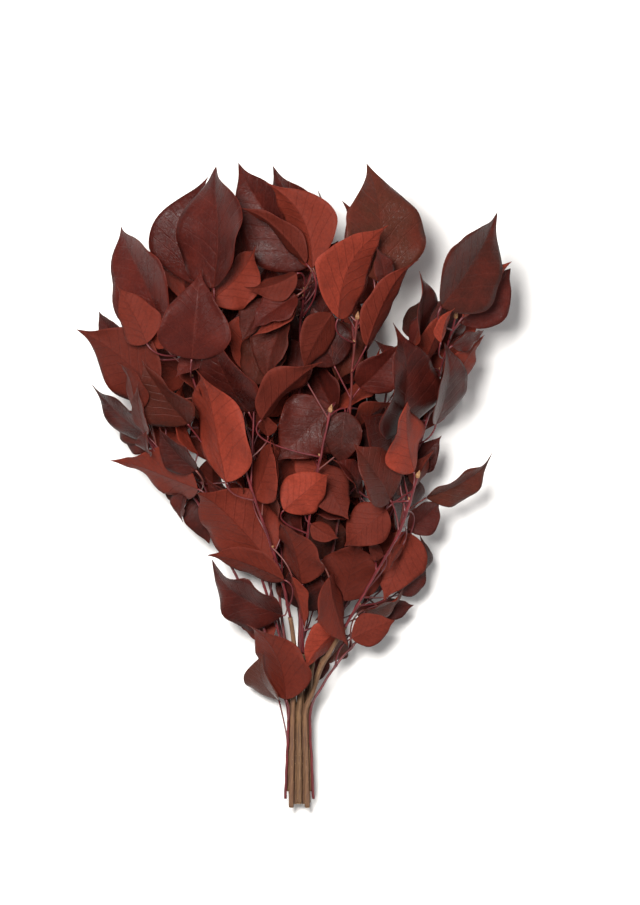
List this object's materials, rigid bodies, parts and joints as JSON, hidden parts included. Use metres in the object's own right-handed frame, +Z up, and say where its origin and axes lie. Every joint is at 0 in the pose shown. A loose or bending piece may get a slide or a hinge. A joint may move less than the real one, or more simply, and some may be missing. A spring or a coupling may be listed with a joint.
{
  "type": "preserved ivy bunch",
  "caption": "Bunch of preserved, red-dyed ivy lying down: tan woody stems gathered at the cut ends, fanning into glossy maroon and matte brick-red pointed leaves.",
  "frame": {"origin": "bottom centre of the bounding box, on the table under the middle of the lying bunch", "axes": "+Y from the cut stem ends to the leaf tips, +Z up from the table, +X to the right of the bunch seen from above with its leaves away from the viewer"},
  "size_m": [0.3708, 0.5514, 0.1815],
  "materials": {
    "foliage": "satin",
    "bark": "matte"
  },
  "bodies": {
    "root": {"spray_back": "foliage", "spray_back_left": "foliage", "spray_back_right": "foliage", "spray_centre": "foliage", "spray_far_left": "foliage", "spray_far_right": "foliage", "spray_front_centre": "foliage", "spray_front_left": "foliage", "spray_front_right": "foliage", "spray_low_left": "foliage", "spray_low_right": "foliage", "spray_top_centre": "foliage", "spray_top_left": "foliage", "spray_upper_left": "foliage", "wood_back": "bark", "wood_back_left": "bark", "wood_back_right": "bark", "wood_centre": "bark", "wood_far_left": "bark", "wood_far_right": "bark", "wood_front_centre": "bark", "wood_front_left": "bark", "wood_front_right": "bark", "wood_top_centre": "bark", "wood_top_left": "bark", "wood_upper_left": "bark"}
  },
  "joints": []
}
